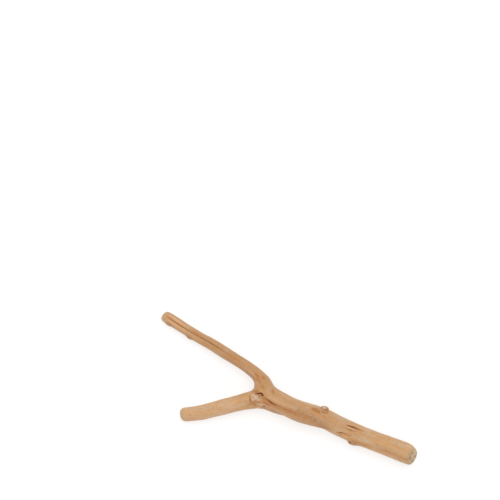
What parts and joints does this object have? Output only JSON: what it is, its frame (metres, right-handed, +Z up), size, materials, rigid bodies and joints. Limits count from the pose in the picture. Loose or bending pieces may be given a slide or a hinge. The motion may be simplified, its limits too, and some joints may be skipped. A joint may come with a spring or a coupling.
{
  "type": "driftwood branch",
  "caption": "Small bare driftwood branch with a sawn butt, forking into a long and a short arm, with a broken stub over the fork, worn twig stumps, a groove and cracks.",
  "frame": {"origin": "on the table the branch lies on, under the middle of its box", "axes": "+X along the branch from the arm tips to the sawn butt, +Z up, +Y towards the long upper arm"},
  "size_m": [0.1996, 0.0613, 0.0155],
  "materials": {
    "driftwood": "bare, worn smooth, matt"
  },
  "bodies": {
    "root": {"driftwood_branch": "driftwood"}
  },
  "joints": []
}
